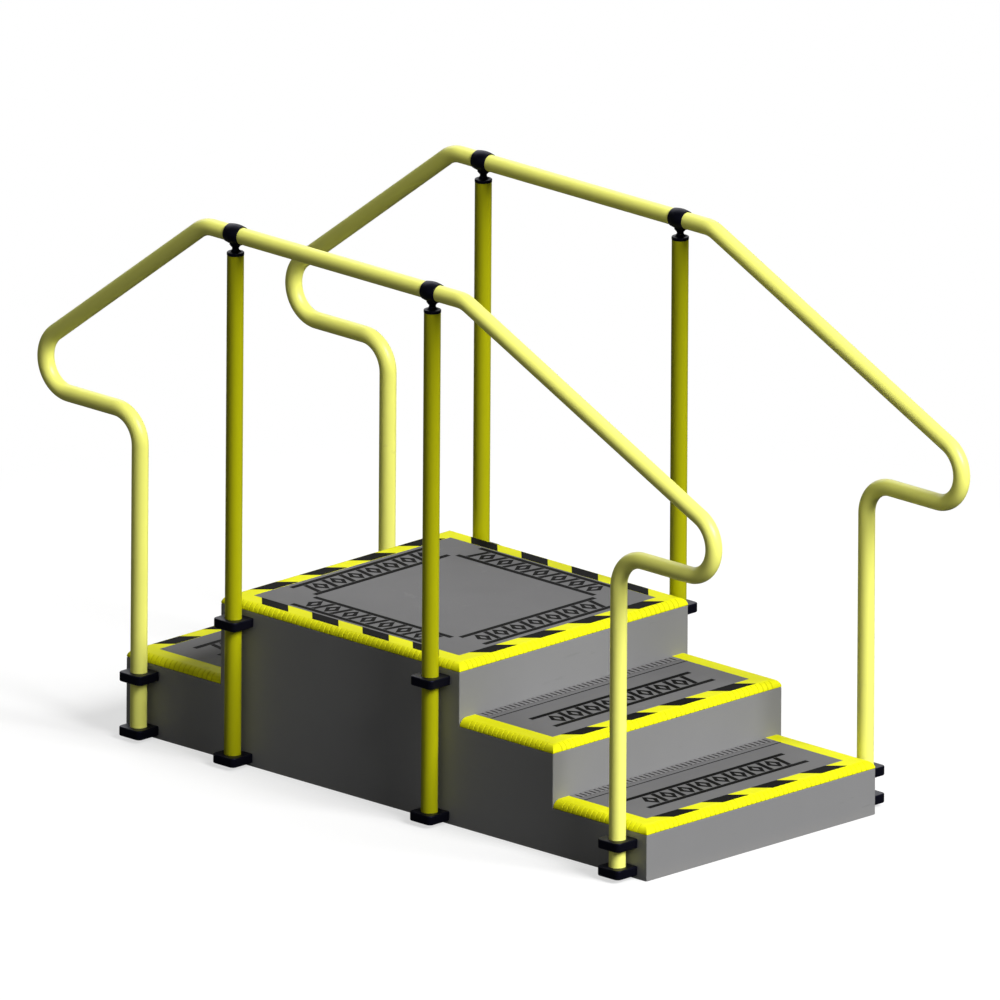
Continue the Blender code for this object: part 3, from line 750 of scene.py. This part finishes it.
for step in ("right_1", "right_2", "left_1"):
    low, high = (Vector(corner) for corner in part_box(f"ribbed_strip_{step}"))
    count = int((high.y - low.y - RIB_PITCH / 2) / RIB_PITCH)
    line = [(low.y, 0)]
    for number in range(count):
        centre = (number - (count - 1) / 2) * RIB_PITCH
        line += [(centre + aside, share) for aside, share in STRIP_GROOVE]
    line.append((high.y, 0))
    # Across the strip: place in X, drop of the edge, and whether the grooves cut there.
    stations = ((low.x, STRIP_EDGE, 0), (low.x + STRIP_EDGE, 0, 0), (low.x + STRIP_MARGIN, 0, 0),
                (low.x + STRIP_MARGIN + STRIP_EDGE, 0, 1), (high.x - STRIP_MARGIN - STRIP_EDGE, 0, 1),
                (high.x - STRIP_MARGIN, 0, 0), (high.x - STRIP_EDGE, 0, 0), (high.x, STRIP_EDGE, 0))
    rings = []
    for x, drop, cut in stations:
        face_line = [(x, y, high.z - drop - STRIP_DEPTH * share * cut) for y, share in line]
        rings.append([(x, low.y, low.z)] + face_line + [(x, high.y, low.z)])
    strip_mesh = solid_over(f"strip_{step}", rings)
    # Faces below the strip's top, in the grooves and on the edge chamfers, take the painted shade.
    two_finishes(strip_mesh, STRIP_RUBBER, SHADED_STRIP_RUBBER, lambda face: face.center.z < high.z - STRIP_SHADE_BELOW)
    put(f"strip_{step}", strip_mesh, STRIP_RUBBER, "stairs", "strip_rubber", f"ribbed_strip_{step}")


# Handrails: one steel tube a side, 42.4 mm across, with six bends of 82 mm radius and powder
# coated pale yellow. Its two ends stand in the cups of the end clamps.
RAIL_YELLOW = (0.97, 0.97, 0.205, 1)
RAIL_RUBBED = (0.60, 0.58, 0.18, 1)
RAIL_Y = 0.439
TUBE_RADIUS = 0.0212
TUBE_BORE = 0.0192
TUBE_FOOT = 0.0143
TUBE_SIDES = 48
TUBE_EDGE = 0.0005
RAIL_HEIGHT = 1.378
RETURN_HEIGHT = 0.841
BEND_RADIUS = 0.082
BEND_STEP = math.radians(5)
LEFT_LOOP_END, RIGHT_LOOP_END = -1.1521, 1.1587
UPRIGHT_X = {"left_end": -0.8243, "platform_left": -0.4993, "platform_right": 0.1818, "right_end": 0.8318}
LEFT_APEX, RIGHT_APEX = -0.6048, 0.2928


def powder_coat(name, colour, rubbed):
    """Powder coat on steel: satin gloss with a faint orange peel, and hairline scuffs from hands."""
    made, wires = new_material(name)
    tone = wires.group(COLOUR_DRIFT, {"Colour": colour, "Amount": 0.03, "Patch": 0.12})
    marks = wires.group(SCUFFS, {"Stretch": (24, 24, 24), "Share": 0.34})
    marked = wires.tinted(tone, rubbed, marks, strength=0.15)
    peel = wires.group(FINE_GRAIN, {"Grain": 0.0030})
    dull = wires.raised(0.32, marks, by=0.20)
    finished(wires, marked, dull, peel, depth=0.00003, Specular_IOR_Level=0.4)
    return made


RAIL_PAINT = powder_coat("rail_paint", RAIL_YELLOW, RAIL_RUBBED)


def round_section(radius, centre, across, up):
    """A ring of points about a centre, in the plane of two unit vectors."""
    ring = []
    for i in range(TUBE_SIDES):
        angle = 2 * math.pi * i / TUBE_SIDES
        ring.append(centre + radius * (math.cos(angle) * across + math.sin(angle) * up))
    return ring


def loop_corner(apex, way, loop_end):
    """Where the sloping stretch and the level return below it would cross without their bend."""
    hub = Vector((loop_end - way * BEND_RADIUS, RETURN_HEIGHT + BEND_RADIUS))
    run = hub - apex
    slope = math.atan2(-run.y, abs(run.x)) - math.asin(BEND_RADIUS / run.length)
    return Vector((apex.x + way * (RAIL_HEIGHT - RETURN_HEIGHT) / math.tan(slope), RETURN_HEIGHT))


def bent_line(corners):
    """The tube's centre line in X and Z: straight runs with an arc at each inner corner."""
    points = [corners[0]]
    for before, corner, after in zip(corners, corners[1:], corners[2:]):
        into = (corner - before).normalized()
        turn = into.angle_signed((after - corner).normalized())
        start = corner - into * BEND_RADIUS * math.tan(abs(turn) / 2)
        spoke = Vector((-into.y, into.x)) * math.copysign(BEND_RADIUS, turn)
        pieces = round(abs(turn) / BEND_STEP)
        for i in range(pieces + 1):
            angle = -turn * i / pieces
            points.append(start - spoke + Vector((spoke.x * math.cos(angle) - spoke.y * math.sin(angle),
                                                  spoke.x * math.sin(angle) + spoke.y * math.cos(angle))))
    points.append(corners[-1])
    return points


def tube(name, line, y):
    """A tube along a line in X and Z: outside, broken edges and bore."""
    steps = [(after - before).normalized() for before, after in zip(line, line[1:])]
    spots = []
    for point, into, onward in zip(line, steps[:1] + steps, steps + steps[-1:]):
        along = (into + onward).normalized()
        spots.append((Vector((point.x, y, point.y)), Vector((along.x, 0, along.y))))
    across = Vector((0, 1, 0))

    def ring(radius, centre, along):
        return round_section(radius, centre, Vector((along.z, 0, -along.x)), across)

    first, last = spots[0], spots[-1]
    outside = [ring(TUBE_RADIUS - TUBE_EDGE, *first),
               ring(TUBE_RADIUS, first[0] + first[1] * TUBE_EDGE, first[1])]
    outside += [ring(TUBE_RADIUS, *spot) for spot in spots[1:-1]]
    outside += [ring(TUBE_RADIUS, last[0] - last[1] * TUBE_EDGE, last[1]),
                ring(TUBE_RADIUS - TUBE_EDGE, *last)]
    inside = [ring(TUBE_BORE, *spot) for spot in spots]
    return solid_over(name, outside + inside[::-1], closed=True)


left_apex = Vector((LEFT_APEX, RAIL_HEIGHT))
right_apex = Vector((RIGHT_APEX, RAIL_HEIGHT))
rail_line = bent_line([
    Vector((UPRIGHT_X["left_end"], TUBE_FOOT)), Vector((UPRIGHT_X["left_end"], RETURN_HEIGHT)),
    loop_corner(left_apex, -1, LEFT_LOOP_END), left_apex,
    right_apex, loop_corner(right_apex, 1, RIGHT_LOOP_END),
    Vector((UPRIGHT_X["right_end"], RETURN_HEIGHT)), Vector((UPRIGHT_X["right_end"], TUBE_FOOT))])
for side, sign in SIDES.items():
    put(f"rail_{side}", tube(f"rail_{side}", rail_line, sign * RAIL_Y), RAIL_PAINT, f"handrail_set_{side}",
        "rail_paint", f"handrail_{side}")


# Posts: straight lengths of the same tube, powder coated olive yellow, which stand in the platform
# clamps and carry the level stretch of the handrail.
POST_OLIVE = (0.40, 0.40, 0.001, 1)
POST_RUBBED = (0.28, 0.27, 0.03, 1)
POST_TOP = 1.325
POSTS = [(side, end, UPRIGHT_X[f"platform_{end}"], sign * RAIL_Y)
         for side, sign in SIDES.items() for end in ("left", "right")]
POST_PAINT = powder_coat("post_paint", POST_OLIVE, POST_RUBBED)

for side, end, x, y in POSTS:
    line = [Vector((x, TUBE_FOOT)), Vector((x, (TUBE_FOOT + POST_TOP) / 2)), Vector((x, POST_TOP))]
    put(f"upright_{side}_{end}", tube(f"upright_{side}_{end}", line, y), POST_PAINT,
        f"handrail_set_{side}", "post_paint", f"post_{side}_{end}")


# Post caps: moulded black nylon plugs driven into the post tops, with a rounded rim and a hollow
# shoulder that runs up to the neck of the collar, and a socket for its stud.
NYLON_BLACK = (0.002, 0.002, 0.004, 1)
NYLON_RUBBED = (0.020, 0.020, 0.024, 1)
NYLON_SHEEN = (0.40, 0.40, 0.85, 1)
CAP_RIM_RADIUS = 0.0218
CAP_RIM_HEIGHT = 0.0080
CAP_RIM_EDGE = 0.0005
CAP_ROUND = 0.0020
CAP_ROUND_TURNS = 5
SHOULDER_TURNS = 8
CAP_TOP_RADIUS = 0.0097
CAP_HEIGHT = 0.0145
CAP_SPIGOT = 0.030
SPIGOT_RADIUS = TUBE_BORE - 0.0004
SOCKET_RADIUS = 0.0053
SOCKET_DEPTH = 0.0123
AXIS_HOLE = 0.0001
UP = Vector((0, 0, 1))


def black_nylon():
    """Moulded black nylon: a fine spark texture, a dull sheen and pale rubbed specks."""
    made, wires = new_material("black_nylon")
    tone = wires.group(COLOUR_DRIFT, {"Colour": NYLON_BLACK, "Amount": 0.12, "Patch": 0.03})
    marks = wires.group(SCUFFS, {"Stretch": (60, 60, 60), "Share": 0.36})
    marked = wires.tinted(tone, NYLON_RUBBED, marks, strength=0.25)
    texture = wires.group(FINE_GRAIN, {"Grain": 0.0006})
    dull = wires.raised(0.34, texture, by=0.16)
    finished(wires, marked, dull, texture, depth=0.00005, Specular_IOR_Level=0.27,
             Specular_Tint=NYLON_SHEEN)
    return made


BLACK_NYLON = black_nylon()


def turned(name, profile, centre, axis, closed=True):
    """A solid of revolution, from pairs of radius and distance along its axis."""
    across = Vector((1, 0, 0)) if axis.z else Vector((0, 0, 1))
    return solid_over(name, [round_section(radius, centre + axis * along, across, Vector((0, 1, 0)))
                             for radius, along in profile], closed=closed)


socket_floor = CAP_HEIGHT - SOCKET_DEPTH
cap_profile = [(SOCKET_RADIUS, socket_floor), (AXIS_HOLE, socket_floor), (AXIS_HOLE, -CAP_SPIGOT),
               (SPIGOT_RADIUS, -CAP_SPIGOT), (SPIGOT_RADIUS, SEAT_GAP),
               (CAP_RIM_RADIUS - CAP_RIM_EDGE, SEAT_GAP), (CAP_RIM_RADIUS, SEAT_GAP + CAP_RIM_EDGE)]
for i in range(CAP_ROUND_TURNS + 1):
    turn = i / CAP_ROUND_TURNS * math.pi / 2
    cap_profile.append((CAP_RIM_RADIUS - CAP_ROUND * (1 - math.cos(turn)),
                        CAP_RIM_HEIGHT - CAP_ROUND + CAP_ROUND * math.sin(turn)))
shoulder = CAP_RIM_RADIUS - CAP_ROUND - CAP_TOP_RADIUS
for i in range(1, SHOULDER_TURNS + 1):
    turn = i / SHOULDER_TURNS * math.pi / 2
    cap_profile.append((CAP_TOP_RADIUS + shoulder * (1 - math.sin(turn)),
                        CAP_RIM_HEIGHT + (CAP_HEIGHT - CAP_RIM_HEIGHT) * (1 - math.cos(turn))))
cap_profile.append((SOCKET_RADIUS, CAP_HEIGHT))
for side, end, x, y in POSTS:
    cap_mesh = turned(f"cap_{side}_{end}", cap_profile, Vector((x, y, POST_TOP)), UP)
    put(f"cap_{side}_{end}", cap_mesh, BLACK_NYLON, f"handrail_set_{side}", "black_nylon",
        f"post_cap_{side}_{end}")


# Saddle collars: crowned black nylon sleeves round the level stretch, each moulded in one with the
# cone, neck and stud that drop into the cap below.
COLLAR_HALF = 0.0235
SLEEVE_BORE = 0.0215
COLLAR_RIM = 0.0020
COLLAR_CROWN = 0.0046
COLLAR_EDGE = 0.0008
CROWN_TURNS = 14
CONE_RADIUS = 0.0150
CONE_HEIGHT = 0.0072
CONE_BLEND = 0.0012
CONE_BELOW_BORE = 0.0004
NECK_RADIUS = 0.0087
NECK_FOOT = POST_TOP + CAP_HEIGHT + SEAT_GAP
STUD_RADIUS = 0.0050
STUD_LENGTH = 0.012
ALONG = Vector((1, 0, 0))


def combined(name, main, other, operation):
    """One mesh from two overlapping solids, joined together or cut from each other."""
    holder = bpy.data.objects.new(name, main)
    helper = bpy.data.objects.new(name + "_helper", other)
    for made in (holder, helper):
        SCENE.collection.objects.link(made)
    change = holder.modifiers.new("combined", "BOOLEAN")
    change.operation = operation
    change.solver = "EXACT"
    change.object = helper
    mesh = bpy.data.meshes.new_from_object(holder.evaluated_get(bpy.context.evaluated_depsgraph_get()))
    for made in (holder, helper):
        bpy.data.objects.remove(made, do_unlink=True)
    return mesh


sleeve_profile = [(SLEEVE_BORE, -COLLAR_HALF), (SLEEVE_BORE + COLLAR_RIM - COLLAR_EDGE, -COLLAR_HALF)]
for i in range(CROWN_TURNS + 1):
    share = i / CROWN_TURNS
    swell = (COLLAR_CROWN - COLLAR_RIM) * math.sin(math.pi * share)
    sleeve_profile.append((SLEEVE_BORE + COLLAR_RIM + swell, (COLLAR_HALF - COLLAR_EDGE) * (2 * share - 1)))
sleeve_profile += [(SLEEVE_BORE + COLLAR_RIM - COLLAR_EDGE, COLLAR_HALF), (SLEEVE_BORE, COLLAR_HALF)]
cone_top = RAIL_HEIGHT - SLEEVE_BORE - CONE_BELOW_BORE
cone_foot = RAIL_HEIGHT - SLEEVE_BORE - COLLAR_CROWN
neck_profile = [(STUD_RADIUS, NECK_FOOT - STUD_LENGTH), (STUD_RADIUS, NECK_FOOT), (NECK_RADIUS, NECK_FOOT),
                (NECK_RADIUS, cone_foot - CONE_HEIGHT - CONE_BLEND),
                (NECK_RADIUS + CONE_BLEND / 4, cone_foot - CONE_HEIGHT),
                (CONE_RADIUS - CONE_BLEND / 4, cone_foot - CONE_BLEND / 2), (CONE_RADIUS, cone_foot),
                (CONE_RADIUS, cone_top)]
for side, end, x, y in POSTS:
    sleeve = turned("sleeve", sleeve_profile, Vector((x, y, RAIL_HEIGHT)), ALONG)
    neck = turned("neck", neck_profile, Vector((x, y, 0)), UP, closed=False)
    put(f"saddle_{side}_{end}", combined(f"saddle_{side}_{end}", sleeve, neck, "UNION"), BLACK_NYLON,
        f"handrail_set_{side}", "black_nylon", f"collar_{side}_{end}")


# Clamp blocks: black nylon blocks screwed to the side panels from within, two at each upright tube.
# The lower one is a cup that carries the tube's foot. Both are rounded all over, least at the back,
# which lies against the panel.
CLAMP_HALF = 0.038
CLAMP_FRONT = 0.037
CLAMP_BACK = 0.0337
CLAMP_HEIGHT = 0.024
CLAMP_FRONT_CORNER = 0.013
CLAMP_BACK_CORNER = 0.003
CORNER_TURNS = 7
CLAMP_ROUND = 0.0030
CLAMP_ROUND_TURNS = 4
BACK_FLAT_SHARE = 0.02
BACK_ROUND_SHARE = 0.3
CLAMP_BORE = 0.0218
CLAMP_BORE_EDGE = 0.0008
CUT_PAST = 0.01
# The step whose side each upper block is screwed to.
CLAMP_LEVELS = {"left_end": "left_1", "platform_left": "platform", "platform_right": "platform",
                "right_end": "right_1"}
CLAMP_DROP = 0.035
CLAMP_FLOOR_GAP = 0.010
CUP_FLOOR = 0.004


def clamp_ring(centre, sign, shrink, z):
    """The block seen from above at one level, shrunk towards its rounded rims."""
    ring = []
    for x, y, corner, quarter in ((CLAMP_HALF, -CLAMP_BACK, CLAMP_BACK_CORNER, -1),
                                  (CLAMP_HALF, CLAMP_FRONT, CLAMP_FRONT_CORNER, 0),
                                  (-CLAMP_HALF, CLAMP_FRONT, CLAMP_FRONT_CORNER, 1),
                                  (-CLAMP_HALF, -CLAMP_BACK, CLAMP_BACK_CORNER, 2)):
        hub = Vector((x - math.copysign(corner, x), y - math.copysign(corner, y)))
        for i in range(CORNER_TURNS + 1):
            angle = (quarter + i / CORNER_TURNS) * math.pi / 2
            out_y = hub.y + (corner - shrink) * math.sin(angle)
            if y < 0 and out_y < -CLAMP_BACK + corner * BACK_FLAT_SHARE + shrink:
                out_y = -CLAMP_BACK + shrink * BACK_ROUND_SHARE
            ring.append((centre.x + hub.x + (corner - shrink) * math.cos(angle),
                         centre.y + sign * out_y, z))
    return ring


def clamp_mesh(name, centre, sign, foot, floor_z):
    """A rounded block with its bore, which stops at a floor if it is a cup."""
    rims = []
    for i in range(CLAMP_ROUND_TURNS + 1):
        turn = i / CLAMP_ROUND_TURNS * math.pi / 2
        rims.append((CLAMP_ROUND * (1 - math.sin(turn)), CLAMP_ROUND * (1 - math.cos(turn))))
    stages = [(shrink, foot + rise) for shrink, rise in rims]
    stages += [(shrink, foot + CLAMP_HEIGHT - rise) for shrink, rise in reversed(rims)]
    outside = solid_over(name, [clamp_ring(centre, sign, shrink, z) for shrink, z in stages])
    top = foot + CLAMP_HEIGHT
    wide = CLAMP_BORE + CLAMP_BORE_EDGE
    profile = [(CLAMP_BORE, floor_z)]
    if floor_z < foot:
        profile = [(wide, floor_z), (wide, foot), (CLAMP_BORE, foot + CLAMP_BORE_EDGE)]
    profile += [(CLAMP_BORE, top - CLAMP_BORE_EDGE), (wide, top), (wide, top + CUT_PAST)]
    cutter = turned(name + "_bore", profile, Vector((centre.x, centre.y, 0)), UP, closed=False)
    return combined(name, outside, cutter, "DIFFERENCE")


for side, sign in SIDES.items():
    for station, x in UPRIGHT_X.items():
        upper_foot = TOPS[CLAMP_LEVELS[station]] - CLAMP_DROP - CLAMP_HEIGHT
        for level_name, foot, floor_z in (("lower", CLAMP_FLOOR_GAP, CLAMP_FLOOR_GAP + CUP_FLOOR),
                                          ("upper", upper_foot, upper_foot - CUT_PAST)):
            name = f"block_{level_name}_{side}_{station}"
            block_mesh = clamp_mesh(name, Vector((x, sign * RAIL_Y)), sign, foot, floor_z)
            even_shading(put(name, block_mesh, BLACK_NYLON, "stairs", "black_nylon",
                             f"clamp_{level_name}_{side}_{station}"))
